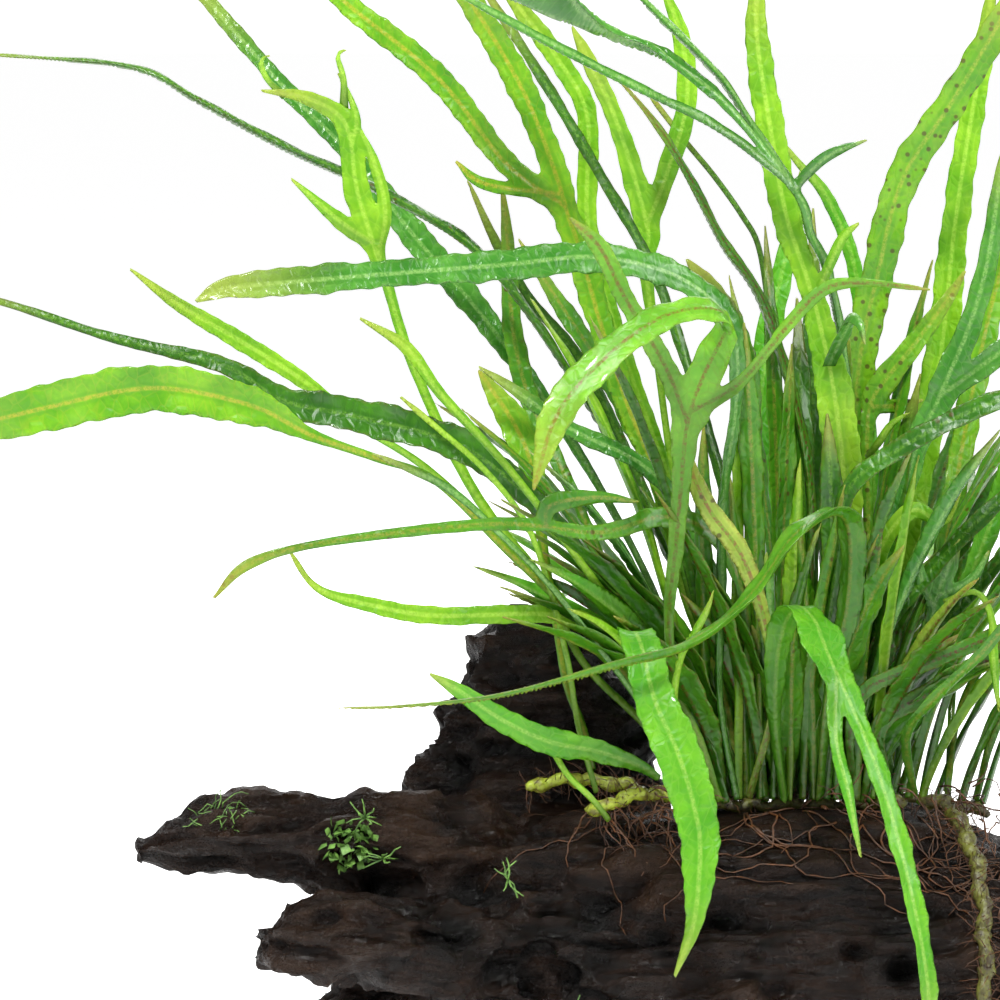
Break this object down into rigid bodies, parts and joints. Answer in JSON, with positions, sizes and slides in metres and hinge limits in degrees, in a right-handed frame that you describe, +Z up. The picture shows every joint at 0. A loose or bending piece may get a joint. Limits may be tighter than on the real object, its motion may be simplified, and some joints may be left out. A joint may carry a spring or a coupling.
{
  "type": "java fern on driftwood",
  "caption": "Narrow-leaved aquarium fern growing from creeping rhizomes on a piece of dark driftwood with a sawn, flat underside.",
  "frame": {"origin": "middle of the wood's sawn, flat underside", "axes": "+Z up, +X along the wood towards its right arm, -Y towards the viewer, where the near fronds arch over"},
  "size_m": [0.2532, 0.1646, 0.1972],
  "materials": {
    "driftwood": "wet, nearly black bogwood with lengthwise grain, pits and a patchy water gloss",
    "rhizome": "yellow-green creeping stem with brown scales and reddish-brown root hairs",
    "frond": "thin, leathery, translucent green blade with net veins, a golden midrib and brown spore spots"
  },
  "bodies": {
    "root": {"arching_front": "frond", "arching_right": "frond", "back_arching": "frond", "back_lean_left": "frond", "back_lean_right": "frond", "back_right_arching": "frond", "back_right_tall": "frond", "back_upright": "frond", "bluish_forked_right": "frond", "broad_left": "frond", "broad_right_back": "frond", "brown_edged": "frond", "crested": "frond", "curled_right": "frond", "dark_jagged": "frond", "dark_left": "frond", "dark_narrow_left": "frond", "dark_right_a": "frond", "dark_right_b": "frond", "dark_upright_left": "frond", "dotted_strap": "frond", "driftwood_back_stump": "driftwood", "driftwood_body": "driftwood", "driftwood_front_spur": "driftwood", "driftwood_left_arm": "driftwood", "driftwood_left_foot": "driftwood", "driftwood_right_arm": "driftwood", "drooping_front": "frond", "drooping_left": "frond", "glossy_back_left": "frond", "glossy_front": "frond", "high_spray": "frond", "holed_left": "frond", "light_left": "frond", "low_broad_left": "frond", "low_left": "frond", "low_right_broad": "frond", "low_right_spotted": "frond", "pale_behind": "frond", "rhizome_back": "rhizome", "rhizome_front_left": "rhizome", "rhizome_left": "rhizome", "rhizome_main": "rhizome", "rhizome_right": "rhizome", "right_arching": "frond", "right_forked": "frond", "right_upright": "frond", "slim_upright_left": "frond", "small_left_low": "frond", "spotted_forked_right": "frond", "spotted_short": "frond", "stiff_right": "frond", "strap_back_left": "frond", "tall_forked_left": "frond", "thin_back_left": "frond", "trident": "frond", "twisted_low": "frond", "upright_light": "frond", "v_fork": "frond", "vertical_strap": "frond"}
  },
  "joints": []
}
